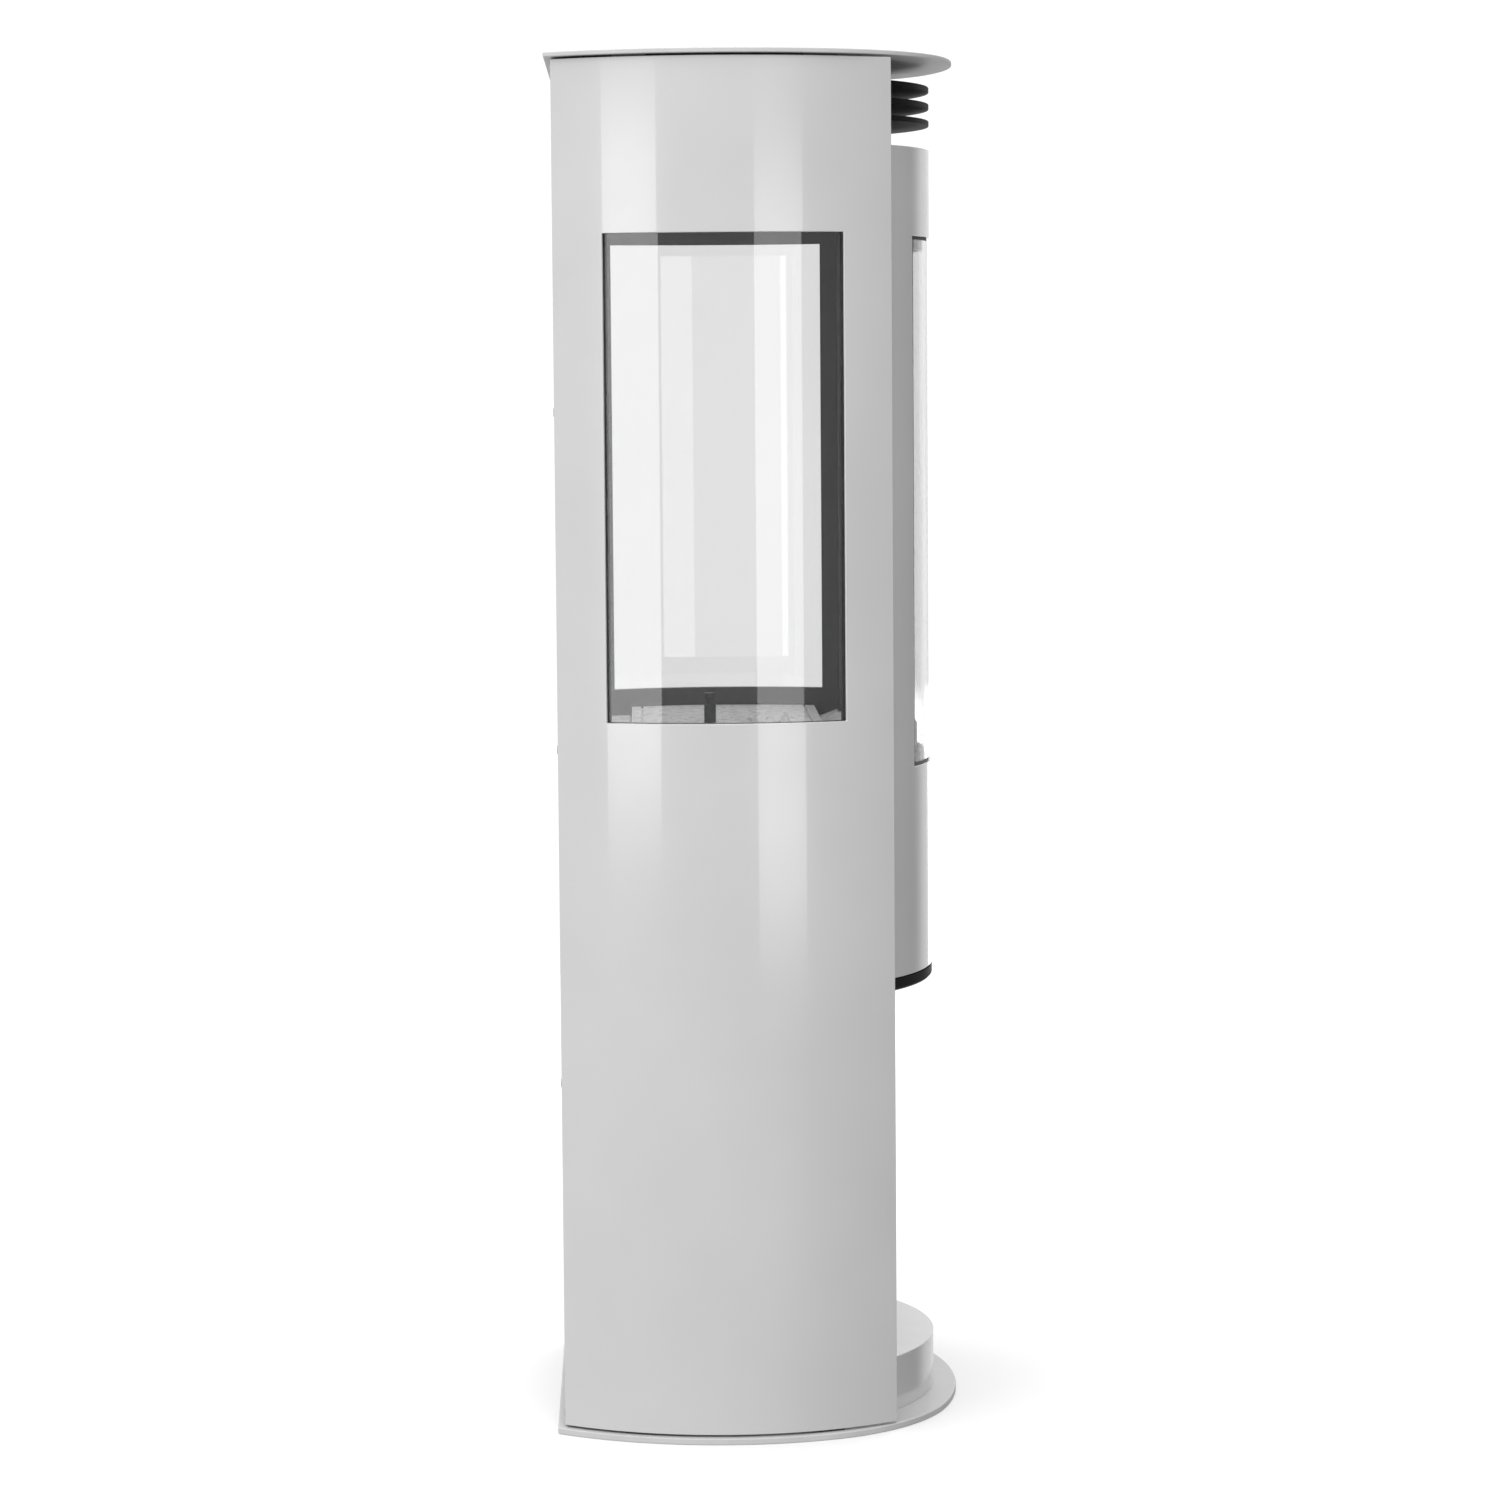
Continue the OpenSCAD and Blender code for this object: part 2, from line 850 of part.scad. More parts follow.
module hinge_bracket(z) {
    leaf_t = 3;
    leaf_w = 22;
    leaf_h = 46;
    web_w = 6;
    at = polar(axis_r, -axis_a);
    wall_y = -jamb_front;
    color("dimgray")
        difference() {
            union() {
                translate([at.x - leaf_w / 2, wall_y - leaf_t, z - leaf_h / 2])
                    cube([leaf_w, leaf_t, leaf_h]);
                translate([at.x, at.y, z - knuckle_h - knuckle_gap]) cylinder(h = knuckle_h, r = knuckle_r);
                translate([at.x - web_w / 2, at.y, z - knuckle_h - knuckle_gap])
                    cube([web_w, wall_y - at.y, knuckle_h]);
            }
            translate([at.x, at.y, z - 2 * knuckle_h]) cylinder(h = 2 * knuckle_h, r = pin_r);
        }
}

module hinge_bracket_lower() {
    hinge_bracket(hinge_z[0]);
}

module hinge_bracket_upper() {
    hinge_bracket(hinge_z[1]);
}

module hinge_pins() {
    color("silver")
        for (z = hinge_z)
            translate(concat(polar(axis_r, -axis_a), z - knuckle_h - knuckle_gap))
                cylinder(h = 2 * knuckle_h + knuckle_gap, r = pin_r);
}

module latch_keeper() {
    tab_h = 14;
    tab_t = 3;
    at = polar(axis_r, axis_a) + keeper_at;
    ear_w = 2 * keeper_r + 2;
    color("silver")
        translate([at.x, at.y, handle_z]) {
            translate([0, 0, -keeper_half_h]) cylinder(h = 2 * keeper_half_h, r = keeper_r);
            for (s = [0, 1])
                mirror([0, 0, s]) {
                    translate([-ear_w / 2, -keeper_r, keeper_half_h])
                        cube([ear_w, -jamb_front - at.y + keeper_r, ear_t]);
                    translate([-ear_w / 2, -jamb_front - at.y - tab_t, keeper_half_h])
                        cube([ear_w, tab_t, tab_h]);
                }
        }
}

// --- Door ---

module door_shell() {
    color("gainsboro")
        difference() {
            drum_arc(door_in_r, drum_r, -door_half_a, door_half_a, door_z0, door_z1);
            drum_arc(door_in_r - 1, drum_r + 1, -glass_half_a, glass_half_a, glass_sill, glass_top);
        }
}

gasket_a = span(gasket_w, drum_r);

module door_glass() {
    color([0.8, 0.85, 0.85, 0.3])
        drum_arc(glass_in_r, glass_r, gasket_a - glass_half_a, glass_half_a - gasket_a,
            glass_sill + gasket_w, glass_top - gasket_w);
}

module door_glass_gasket() {
    proud = 0.4;
    color("black")
        difference() {
            drum_arc(glass_in_r, glass_r - proud, -glass_half_a, glass_half_a, glass_sill, glass_top);
            drum_arc(glass_in_r - 1, drum_r, gasket_a - glass_half_a, glass_half_a - gasket_a,
                glass_sill + gasket_w, glass_top - gasket_w);
        }
}

module door_frame() {
    lap_a = glass_half_a - frame_lap_a;
    color("dimgray")
        difference() {
            drum_arc(frame_in_r, door_in_r, -frame_half_a, frame_half_a,
                door_z0 + frame_rim, door_z1 - frame_rim);
            drum_arc(glass_in_r, drum_r, -glass_half_a, glass_half_a, glass_sill, glass_top);
            drum_arc(frame_in_r - 1, drum_r, -lap_a, lap_a, glass_sill + frame_lap, glass_top - frame_lap);
        }
}

module door_seal_rope() {
    inner_a = seal_half_a - span(seal_w, frame_in_r);
    z0 = door_z0 + frame_rim + 1;
    z1 = door_z1 - frame_rim - 1;
    color("darkslategray")
        difference() {
            drum_arc(seal_in_r, frame_in_r, -seal_half_a, seal_half_a, z0, z1);
            drum_arc(seal_in_r - 1, frame_in_r + 1, -inner_a, inner_a, z0 + seal_w, z1 - seal_w);
        }
}

// Arm on the right-hand edge of the door's skin, with a knuckle on the axis beyond it
module door_arm(z, h) {
    arm_t = 4;
    bar_w = 5;
    bar_a = axis_a - 0.8;
    r_in = door_in_r - arm_t;
    at = polar(axis_r, axis_a);
    translate([0, 0, z])
        linear_extrude(h)
            difference() {
                union() {
                    intersection() {
                        difference() {
                            circle(door_in_r, $fn = ARC_FN);
                            circle(r_in, $fn = ARC_FN);
                        }
                        polygon([[0, 0], polar(2 * drum_r, frame_half_a + 0.3), polar(2 * drum_r, axis_a)]);
                    }
                    rotate([0, 0, bar_a - 90])
                        translate([door_in_r - arm_t / 2, -bar_w / 2])
                            square([axis_r - door_in_r, bar_w]);
                    translate(at) circle(knuckle_r);
                }
                translate(at) circle(pin_r + pin_fit);
            }
}

module hinge_arms() {
    color("dimgray")
        mirror([1, 0, 0])
            for (z = hinge_z)
                door_arm(z, knuckle_h);
}

module latch_arms() {
    color("dimgray")
        for (z = [handle_z - latch_arm_reach, handle_z + latch_arm_reach - latch_arm_h])
            door_arm(z, latch_arm_h);
}

// --- Handle with its latch, shown released ---

rod_half_h = grip_h / 2 - 2;

module at_latch_axis() {
    translate(polar(axis_r, axis_a)) rotate([0, 0, latch_turn]) children();
}

module latch_rod() {
    color("silver")
        at_latch_axis()
            translate([0, 0, handle_z - rod_half_h]) cylinder(h = 2 * rod_half_h, r = pin_r);
}

module latch_hook() {
    boss_r = pin_r + 2;
    hook_h = 10;
    arm_w = 4;
    finger_y = [12, 15];
    finger_x = 10;
    color("silver")
        at_latch_axis()
            translate([0, 0, handle_z - hook_h / 2])
                linear_extrude(hook_h)
                    difference() {
                        union() {
                            circle(boss_r);
                            translate([-arm_w / 2, 0]) square([arm_w, finger_y[1]]);
                            translate([-arm_w / 2, finger_y[0]])
                                square([arm_w / 2 + finger_x, finger_y[1] - finger_y[0]]);
                        }
                        circle(pin_r);
                    }
}

module handle_grip() {
    grip_r = 7;
    grip_at = [-14, -26];
    link_t = 6;
    link_w = 10;
    reach = norm(grip_at);
    color("silver")
        at_latch_axis()
            difference() {
                union() {
                    translate([grip_at.x, grip_at.y, handle_z - grip_h / 2])
                        cylinder(h = grip_h, r = grip_r);
                    for (z = [-grip_h / 2 + 4, grip_h / 2 - 4 - link_t])
                        translate([0, 0, handle_z + z]) {
                            cylinder(h = link_t, r = link_w / 2 + 1);
                            rotate([0, 0, atan2(grip_at.y, grip_at.x)])
                                translate([0, -link_w / 2, 0]) cube([reach, link_w, link_t]);
                        }
                }
                translate([0, 0, handle_z - grip_h]) cylinder(h = 2 * grip_h, r = pin_r);
            }
}

// --- Air slide ---

module air_slide_plate() {
    tongue_w = 16;
    root_y = (slide_front + slide_back) / 2 + 4;
    root_d = 8;
    color("gray") {
        translate([0, 0, slide_z])
            linear_extrude(slide_t)
                difference() {
                    translate([-slide_len / 2, -slide_front]) square([slide_len, slide_front - slide_back]);
                    air_slots();
                }
        translate([-tongue_w / 2, -root_y, tongue_z]) cube([tongue_w, root_d, slide_z - tongue_z]);
        translate([-tongue_w / 2, -knob_front, tongue_z])
            cube([tongue_w, knob_front - root_y + root_d, tongue_t]);
    }
}

module air_knob() {
    rim = 1.5;
    color("black")
        translate([0, -knob_front, tongue_z - knob_h])
            rotate_extrude()
                polygon([[0, 0], [knob_r - rim, 0], [knob_r, rim], [knob_r, knob_h - rim],
                    [knob_r - rim, knob_h], [0, knob_h]]);
}

// --- Turning grate ---

module grate_disc() {
    slots = 8;
    slot_w = 8;
    slot_in = 24;
    slot_out = grate_r - 8;
    color("dimgray")
        translate([0, riddle_back, grate_z])
            difference() {
                cylinder(h = grate_t, r = grate_r);
                for (i = [0 : slots - 1])
                    rotate([0, 0, (i + 0.5) * 360 / slots])
                        translate([slot_in, -slot_w / 2, -1])
                            cube([slot_out - slot_in, slot_w, grate_t + 2]);
            }
}

// Upright pin for riddling, with a waist under its cap
module riddling_pin() {
    neck_r = riddle_r - 1.5;
    cap_h = 5;
    neck_h = 6;
    z0 = grate_z + grate_t;
    color("black")
        translate([0, riddle_back, 0])
            rotate_extrude()
                polygon([[0, z0], [riddle_r, z0], [riddle_r, riddle_top - cap_h - neck_h],
                    [neck_r, riddle_top - cap_h - neck_h], [neck_r, riddle_top - cap_h],
                    [riddle_r, riddle_top - cap_h], [riddle_r, riddle_top], [0, riddle_top]]);
}

base_plate();
plinth_drum();
plinth_lid();
store_posts();
side_panel_left();
side_panel_right();
panel_brackets_left();
panel_brackets_right();
side_glass_left();
side_glass_right();
side_gasket_left();
side_gasket_right();
back_panel();
back_panel_screws();
top_plate();
cooling_fin_lower();
cooling_fin_middle();
cooling_fin_upper();
fin_hub();
flue_collar();
body_roof();
body_floor();
base_ring();
firebox_shell();
air_chamber_sides();
air_chamber_rear();
air_chamber_front();
ash_shelf();
ash_pan();
firebox_base();
grate_cradle();
floor_brick_centre();
floor_brick_front();
floor_brick_rear();
firebrick_back_left();
firebrick_back_right();
baffle_rests();
baffle_plate();
smoke_plate();
log_guard();
air_collar();
slide_guides();
hinge_bracket_lower();
hinge_bracket_upper();
hinge_pins();
latch_keeper();
door_shell();
door_glass();
door_glass_gasket();
door_frame();
door_seal_rope();
hinge_arms();
latch_arms();
latch_rod();
latch_hook();
handle_grip();
air_slide_plate();
air_knob();
grate_disc();
riddling_pin();
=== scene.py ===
# Looks of the round wood burning stove: enamelled sheets, glass, cast parts and firebricks.
import json
import math

import bmesh
import bpy
from mathutils import Matrix, Vector


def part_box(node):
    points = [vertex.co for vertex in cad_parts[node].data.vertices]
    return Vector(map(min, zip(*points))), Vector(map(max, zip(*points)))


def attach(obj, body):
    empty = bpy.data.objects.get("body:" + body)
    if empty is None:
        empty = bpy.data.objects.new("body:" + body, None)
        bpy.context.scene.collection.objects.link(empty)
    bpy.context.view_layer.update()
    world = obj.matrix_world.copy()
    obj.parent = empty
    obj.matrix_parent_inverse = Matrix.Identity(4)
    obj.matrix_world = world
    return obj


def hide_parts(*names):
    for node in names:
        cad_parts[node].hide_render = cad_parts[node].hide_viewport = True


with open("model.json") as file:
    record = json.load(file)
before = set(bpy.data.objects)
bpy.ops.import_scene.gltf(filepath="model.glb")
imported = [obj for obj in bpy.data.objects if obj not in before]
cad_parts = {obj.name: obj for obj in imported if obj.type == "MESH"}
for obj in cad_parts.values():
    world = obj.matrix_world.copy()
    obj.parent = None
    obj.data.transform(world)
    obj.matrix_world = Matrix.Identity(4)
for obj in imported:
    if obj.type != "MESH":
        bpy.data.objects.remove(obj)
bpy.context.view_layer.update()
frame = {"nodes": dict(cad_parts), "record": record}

MM = 0.001
AXIS = Vector((0, 0, 1))
ARC_STEP = math.radians(1.5)
SHARP = math.radians(35)
SAME_POINT = 0.005 * MM
FLAT = math.radians(0.1)

# Side panels with their glasses and gaskets, each side about its own centre
PLATE_HALF_W = 214 * MM
PLATE_SIDE_R = 300 * MM
PANEL_R = 295 * MM
PANEL_T = 3 * MM
PANEL_EDGE = 0.7 * MM
SIDE_GLASS_GAP = 1 * MM
SIDE_GLASS_T = 4 * MM
SIDE_GLASS_LAP = 11 * MM
SIDE_GASKET_T = 3 * MM
side_centre = Vector((PLATE_SIDE_R - PLATE_HALF_W, 0, 0))

# Door, about the drum's axis
DRUM_R = 194 * MM
DOOR_HALF = math.radians(45)
DOOR_T = 4 * MM
DOOR_EDGE = 0.8 * MM
WINDOW_HALF = math.radians(27)
GLASS_RECESS = 2 * MM
GLASS_T = 4 * MM
GASKET_W = 3 * MM
GASKET_SINK = 0.4 * MM
GASKET_EDGE = 0.4 * MM

# Fins, hub, ring and plinth lid
HUB_IN_R = 140 * MM
HUB_R = 144 * MM
FIN_EDGE = 1.2 * MM
RING_IN_R = 160 * MM
RING_FOOT_R = 191.5 * MM
RING_CHAMFER = 2.5 * MM
RING_HALF_TURN = math.radians(130)
RING_EDGE = 0.5 * MM
LID_EDGE = 0.8 * MM

# Screws of the back panel
HEAD_PRESS = 0.35
HEAD_EDGE = 0.15 * MM


# --- Materials ---

def shader(name, **sockets):
    """A new material whose Principled shader has these plain values; returns it with its tree and shader."""
    material = bpy.data.materials.new(name)
    material.use_nodes = True
    tree = material.node_tree
    principled = tree.nodes["Principled BSDF"]
    for socket, value in sockets.items():
        principled.inputs[socket.replace("_", " ")].default_value = value
    return material, tree, principled


def noise(tree, scale, detail=2.0, roughness=0.5, stretch=(1, 1, 1)):
    """A noise pattern fixed to the piece, stretched along its axes."""
    coords = tree.nodes.new("ShaderNodeTexCoord")
    mapping = tree.nodes.new("ShaderNodeMapping")
    mapping.inputs["Scale"].default_value = stretch
    pattern = tree.nodes.new("ShaderNodeTexNoise")
    pattern.inputs["Scale"].default_value = scale
    pattern.inputs["Detail"].default_value = detail
    pattern.inputs["Roughness"].default_value = roughness
    tree.links.new(coords.outputs["Object"], mapping.inputs["Vector"])
    tree.links.new(mapping.outputs["Vector"], pattern.inputs["Vector"])
    return pattern.outputs["Fac"]


def ramp(tree, factor, stops):
    """Colours blended along a pattern; stops are (place, colour) pairs."""
    node = tree.nodes.new("ShaderNodeValToRGB")
    elements = node.color_ramp.elements
    while len(elements) < len(stops):
        elements.new(0.5)
    for element, (place, colour) in zip(elements, stops):
        element.position = place
        element.color = (*colour, 1)
    tree.links.new(factor, node.inputs["Fac"])
    return node.outputs["Color"]


def spread(tree, factor, low, high):
    """A pattern's values spread between low and high."""
    node = tree.nodes.new("ShaderNodeMapRange")
    node.inputs["From Min"].default_value = 0.3
    node.inputs["From Max"].default_value = 0.7
    node.inputs["To Min"].default_value = low
    node.inputs["To Max"].default_value = high
    tree.links.new(factor, node.inputs["Value"])
    return node.outputs["Result"]


def add_bump(tree, principled, heights, strength, depth):
    """Puts a pattern on the surface as fine relief."""
    bump = tree.nodes.new("ShaderNodeBump")
    bump.inputs["Strength"].default_value = strength
    bump.inputs["Distance"].default_value = depth
    tree.links.new(heights, bump.inputs["Height"])
    tree.links.new(bump.outputs["Normal"], principled.inputs["Normal"])


def grey(value):
    """A neutral colour."""
    return (value, value, value)


def gloss_enamel(name, tone, peel=0.12):
    """Fired enamel: even colour, a clear glossy skin and a faint orange peel."""
    material, tree, principled = shader(
        name, Coat_Weight=1.0, Coat_Roughness=0.03, Coat_IOR=1.55, IOR=1.5)
    cloud = noise(tree, scale=6, detail=3)
    tree.links.new(ramp(tree, cloud, [(0.3, grey(tone * 0.97)), (0.7, grey(tone * 1.03))]),
                   principled.inputs["Base Color"])
    polish = noise(tree, scale=40)
    tree.links.new(spread(tree, polish, low=0.16, high=0.24), principled.inputs["Roughness"])
    orange_peel = noise(tree, scale=260, roughness=0.4)
    add_bump(tree, principled, orange_peel, strength=peel, depth=0.15 * MM)
    return material


def dull_black(name, tone):
    """Matt black enamel: soot-dark, with hardly any gloss even at a flat angle."""
    material, tree, principled = shader(name, Specular_IOR_Level=0.04)
    cloud = noise(tree, scale=12, detail=3)
    tree.links.new(ramp(tree, cloud, [(0.3, grey(tone * 0.7)), (0.7, grey(tone * 1.5))]),
                   principled.inputs["Base Color"])
    tree.links.new(spread(tree, cloud, low=0.42, high=0.55), principled.inputs["Roughness"])
    add_bump(tree, principled, noise(tree, scale=500), strength=0.15, depth=0.1 * MM)
    return material


def plate_enamel(name, tone):
    """The plates' textured enamel: the panels' colour with a coarser, duller skin."""
    material, tree, principled = shader(name, Specular_IOR_Level=0.4)
    cloud = noise(tree, scale=30, detail=4)
    tree.links.new(ramp(tree, cloud, [(0.3, grey(tone * 0.95)), (0.7, grey(tone * 1.05))]),
                   principled.inputs["Base Color"])
    tree.links.new(spread(tree, cloud, low=0.4, high=0.55), principled.inputs["Roughness"])
    add_bump(tree, principled, noise(tree, scale=180, detail=3), strength=0.3, depth=0.3 * MM)
    return material


def satin_steel(name, tone, roughness):
    """Bare steel with a fine ground grain along its height."""
    material, tree, principled = shader(name, Metallic=1.0, Anisotropic=0.4)
    grain = noise(tree, scale=900, detail=3, roughness=0.6, stretch=(1, 1, 0.04))
    tree.links.new(ramp(tree, grain, [(0.3, grey(tone * 0.85)), (0.7, grey(tone * 1.1))]),
                   principled.inputs["Base Color"])
    shine = spread(tree, grain, low=roughness * 0.8, high=roughness * 1.3)
    tree.links.new(shine, principled.inputs["Roughness"])
    add_bump(tree, principled, grain, strength=0.1, depth=0.05 * MM)
    return material


def stove_paint(name, tone, roughness=0.55):
    """Heat-resistant paint: dull, slightly grainy, with a lighter bloom where it has been hot."""
    material, tree, principled = shader(name, Specular_IOR_Level=0.4)
    bloom = noise(tree, scale=9, detail=4, roughness=0.6)
    tree.links.new(ramp(tree, bloom, [(0.3, grey(tone * 0.75)), (0.75, grey(tone * 1.35))]),
                   principled.inputs["Base Color"])
    shine = spread(tree, bloom, low=roughness * 0.85, high=roughness * 1.15)
    tree.links.new(shine, principled.inputs["Roughness"])
    add_bump(tree, principled, noise(tree, scale=700), strength=0.25, depth=0.1 * MM)
    return material


def cast_iron(name, tone):
    """Sand-cast iron with its pebbled skin."""
    material, tree, principled = shader(name, Metallic=0.6)
    skin = noise(tree, scale=380, detail=4, roughness=0.6)
    tree.links.new(ramp(tree, skin, [(0.35, grey(tone * 0.6)), (0.7, grey(tone * 1.5))]),
                   principled.inputs["Base Color"])
    tree.links.new(spread(tree, skin, low=0.45, high=0.65), principled.inputs["Roughness"])
    add_bump(tree, principled, skin, strength=0.5, depth=0.3 * MM)
    return material


def vermiculite(name):
    """Pressed vermiculite board: pale, speckled with flakes, softly pitted."""
    material, tree, principled = shader(name, Specular_IOR_Level=0.2)
    flakes = tree.nodes.new("ShaderNodeTexVoronoi")
    flakes.inputs["Scale"].default_value = 260
    coords = tree.nodes.new("ShaderNodeTexCoord")
    tree.links.new(coords.outputs["Object"], flakes.inputs["Vector"])
    speckle = ramp(tree, flakes.outputs["Color"], [
        (0.05, grey(0.42)), (0.35, grey(0.74)), (0.8, grey(0.84))])
    tree.links.new(speckle, principled.inputs["Base Color"])
    pits = noise(tree, scale=320, detail=5, roughness=0.7)
    tree.links.new(spread(tree, pits, low=0.8, high=0.95), principled.inputs["Roughness"])
    add_bump(tree, principled, pits, strength=0.5, depth=0.5 * MM)
    return material


def rope(name, tone):
    """Braided glass-fibre rope."""
    material, tree, principled = shader(name, Specular_IOR_Level=0.2, Sheen_Weight=0.3)
    braid = tree.nodes.new("ShaderNodeTexWave")
    braid.bands_direction = "DIAGONAL"
    braid.inputs["Scale"].default_value = 180
    braid.inputs["Distortion"].default_value = 1.5
    coords = tree.nodes.new("ShaderNodeTexCoord")
    tree.links.new(coords.outputs["Object"], braid.inputs["Vector"])
    tree.links.new(ramp(tree, braid.outputs["Fac"], [(0, grey(tone * 0.5)), (1, grey(tone * 1.6))]),
                   principled.inputs["Base Color"])
    fuzz = noise(tree, scale=200)
    tree.links.new(spread(tree, fuzz, low=0.8, high=0.95), principled.inputs["Roughness"])
    add_bump(tree, principled, braid.outputs["Fac"], strength=0.6, depth=0.5 * MM)
    return material


def stove_glass(name, tint):
    """Clear ceramic glass; lamps shine straight through it, so that the firebox is lit."""
    material, tree, principled = shader(name, Transmission_Weight=1.0, IOR=1.5)
    waviness = noise(tree, scale=7)
    tree.links.new(ramp(tree, waviness, [(0.3, grey(tint * 0.985)), (0.7, grey(tint))]),
                   principled.inputs["Base Color"])
    tree.links.new(spread(tree, waviness, low=0.0, high=0.012), principled.inputs["Roughness"])
    add_bump(tree, principled, waviness, strength=0.01, depth=0.5 * MM)
    clear = tree.nodes.new("ShaderNodeBsdfTransparent")
    rays = tree.nodes.new("ShaderNodeLightPath")
    mix = tree.nodes.new("ShaderNodeMixShader")
    output = tree.nodes["Material Output"]
    tree.links.new(rays.outputs["Is Shadow Ray"], mix.inputs["Fac"])
    tree.links.new(principled.outputs["BSDF"], mix.inputs[1])
    tree.links.new(clear.outputs["BSDF"], mix.inputs[2])
    tree.links.new(mix.outputs["Shader"], output.inputs["Surface"])
    return material


finishes = {
    "enamel": gloss_enamel("light_grey_enamel", tone=0.6),
    "black_enamel": dull_black("dull_black_enamel", tone=0.016),
    "side_glass": stove_glass("side_glass_clear", tint=0.86),
    "door_glass": stove_glass("door_glass_clear", tint=0.9),
    "gasket": rope("black_rope", tone=0.03),
    "brick": vermiculite("vermiculite_board"),
    "cast_iron": cast_iron("black_cast_iron", tone=0.03),
    "bright_steel": satin_steel("ground_stainless", tone=0.55, roughness=0.25),
    "stove_steel": stove_paint("dark_stove_paint", tone=0.045),
}
plate_finish = plate_enamel("plate_enamel", tone=0.56)
finish_of = {"base_plate": plate_finish, "top_plate": plate_finish}
slot_of = {part["node"]: part["material_slot"] for part in frame["record"]["subparts"]}
body_of = {node: body
           for body, nodes in frame["record"]["behaviour"]["bodies"].items() for node in nodes}


def finish_for(node):
    """The finish of a node: its own, or else its slot's."""
    return finish_of.get(node, finishes[slot_of[node]])


# --- Building pieces ---

def add_piece(name, bm, node, bevel=0.0, segments=2):
    """Makes a piece from bm in place of a CAD node, with its finish, on its body."""
    bmesh.ops.remove_doubles(bm, verts=bm.verts, dist=SAME_POINT)
    bmesh.ops.recalc_face_normals(bm, faces=bm.faces)
    for face in bm.faces:
        face.smooth = True
    for edge in bm.edges:
        edge.smooth = len(edge.link_faces) == 2 and edge.calc_face_angle() < SHARP
    mesh = bpy.data.meshes.new(name)
    bm.to_mesh(mesh)
    bm.free()
    piece = bpy.data.objects.new(name, mesh)
    bpy.context.scene.collection.objects.link(piece)
    piece.data.materials.append(finish_for(node))
    if bevel:
        rounding = piece.modifiers.new("rounded_edges", "BEVEL")
        rounding.width = bevel
        rounding.segments = segments
        rounding.limit_method = "ANGLE"
        rounding.angle_limit = SHARP
        rounding.harden_normals = True
    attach(piece, body_of[node])
    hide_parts(node)
    return piece


def curved_sheet(centre, radius, thickness, start, spans, levels, window=False):
    """A sheet curved about centre, from angle start through spans; a window takes its middle cell."""
    bm = bmesh.new()
    foot = centre + radius * Vector((math.cos(start), math.sin(start), 0))
    column = [bm.verts.new((foot.x, foot.y, z)) for z in levels]
    geom = column + [bm.edges.new(pair) for pair in zip(column, column[1:])]
    middle = []
    for place, span in enumerate(spans):
        before = set(bm.faces)
        steps = max(1, round(span / ARC_STEP))
        geom = bmesh.ops.spin(bm, geom=geom, cent=centre, axis=AXIS, angle=span, steps=steps)["geom_last"]
        if place == 1:
            middle = [face for face in bm.faces if face not in before]
    if window:
        cut = [face for face in middle if levels[1] < face.calc_center_median().z < levels[2]]
        bmesh.ops.delete(bm, geom=cut, context="FACES")
    bm.normal_update()
    face = bm.faces[:][0]
    if face.normal.dot(face.calc_center_median() - centre) < 0:
        bmesh.ops.reverse_faces(bm, faces=bm.faces)
    bmesh.ops.solidify(bm, geom=bm.faces[:], thickness=thickness)
    return bm


def side_angle(y, radius):
    """Angle about a side's centre at which its arc reaches y."""
    return math.asin(y / radius)


def side_sheet(node, radius, thickness, window=None, bevel=0.0):
    """A sheet on one side, curved about its own centre; a window is (front, rear, sill, top)."""
    low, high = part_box(node)
    start, end = side_angle(low.y, radius), side_angle(high.y, radius)
    spans, levels = [end - start], [low.z, high.z]
    if window:
        front, rear, sill, top = window
        front_angle, rear_angle = side_angle(front, radius), side_angle(rear, radius)
        spans = [front_angle - start, rear_angle - front_angle, end - rear_angle]
        levels = [low.z, sill, top, high.z]
    bm = curved_sheet(-side_centre, radius, thickness, start, spans, levels, bool(window))
    if high.x < 0:
        bmesh.ops.scale(bm, vec=(-1, 1, 1), verts=bm.verts)
    return add_piece(node + "_sheet", bm, node, bevel)


def front_sheet(node, radius, thickness, half_angle, levels, window_half=None, bevel=0.0):
    """A sheet of the door, curved about the drum's axis."""
    spans = [2 * half_angle]
    if window_half is not None:
        beside = half_angle - window_half
        spans = [beside, 2 * window_half, beside]
    start = -math.pi / 2 - half_angle
    bm = curved_sheet(Vector(), radius, thickness, start, spans, levels, window_half is not None)
    return add_piece(node + "_sheet", bm, node, bevel)


def turned(node, profile, half_turn=math.pi, cut_back=None, bevel=0.0, segments=2):
    """A piece turned about the drum's axis from a closed profile of (radius, height) points."""
    bm = bmesh.new()
    ring = [bm.verts.new((0, -r, z)) for r, z in profile]
    edges = [bm.edges.new((ring[i - 1], ring[i])) for i in range(len(ring))]
    whole = half_turn >= math.pi
    bmesh.ops.rotate(bm, verts=ring, cent=Vector(), matrix=Matrix.Rotation(-half_turn, 3, "Z"))
    steps = round(2 * half_turn / ARC_STEP)
    last = bmesh.ops.spin(bm, geom=ring + edges, cent=Vector(), axis=AXIS,
                          angle=2 * half_turn, steps=steps, use_merge=whole)["geom_last"]
    if not whole:
        bmesh.ops.contextual_create(bm, geom=edges)
        bmesh.ops.contextual_create(bm, geom=[e for e in last if isinstance(e, bmesh.types.BMEdge)])
    if cut_back is not None:
        trim_back(bm, cut_back)
    return add_piece(node + "_turned", bm, node, bevel, segments)


